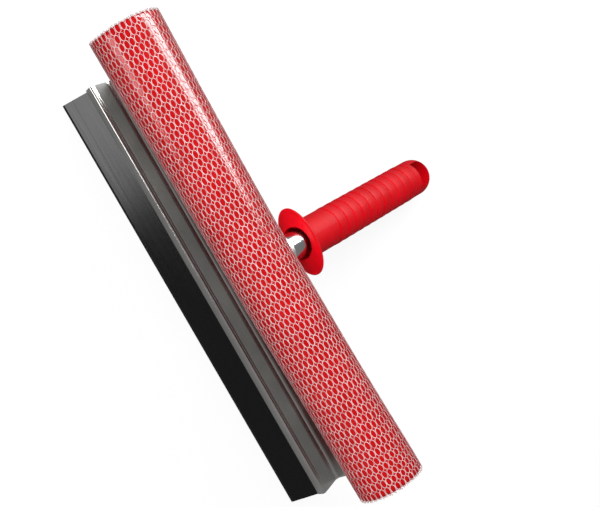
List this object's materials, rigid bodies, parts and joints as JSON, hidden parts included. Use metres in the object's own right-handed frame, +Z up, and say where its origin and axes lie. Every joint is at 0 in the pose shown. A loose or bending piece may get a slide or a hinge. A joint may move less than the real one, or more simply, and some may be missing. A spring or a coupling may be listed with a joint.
{
  "type": "window cleaning squeegee",
  "caption": "Window squeegee with a straight rubber blade in a folded steel holder, a net-covered foam roll beside it, and a ribbed grip with a hand guard on a short steel tube.",
  "frame": {"origin": "bottom centre of the bounding box of the squeegee, lying at rest on the rubber blade's edge and the end of the grip", "axes": "+X along the roll and the blade, +Y from the blade's side towards the end of the grip, +Z up; the handle slopes down towards +Y by 16.5 degrees"},
  "size_m": [0.365, 0.2564, 0.1223],
  "materials": {
    "holder_steel": "satin galvanised sheet",
    "rail_steel": "plain rolled",
    "socket_steel": "pressed, zinc plated",
    "rivet_steel": "zinc plated",
    "tube_chrome": "bright",
    "blade_rubber": "semi-gloss moulded",
    "red_foam": "open-cell foam",
    "pale_net": "soft knitted net",
    "binding_tape": "woven tape",
    "core_plastic": "extruded",
    "red_grip": "soft semi-gloss moulding"
  },
  "bodies": {
    "frame": {"holder_plate": "holder_steel", "rear_jaw": "holder_steel", "roll_rail": "rail_steel", "rail_rod": "rail_steel", "rail_rivets": "rivet_steel", "tube_socket": "socket_steel", "socket_rivets": "rivet_steel", "cross_rivet": "rivet_steel", "handle_tube": "tube_chrome", "grip": "red_grip"},
    "blade": {"rubber_blade": "blade_rubber"},
    "roll": {"roll_core": "core_plastic", "foam_roll": "red_foam", "net_sleeve": "pale_net", "net_bindings": "binding_tape"}
  },
  "joints": [
    {"name": "blade_draw", "type": "slide", "parent": "frame", "child": "blade", "axis": [1, 0, 0], "range_m": [0, 0.3]},
    {"name": "roll_draw", "type": "slide", "parent": "frame", "child": "roll", "axis": [1, 0, 0], "range_m": [0, 0.3]}
  ]
}
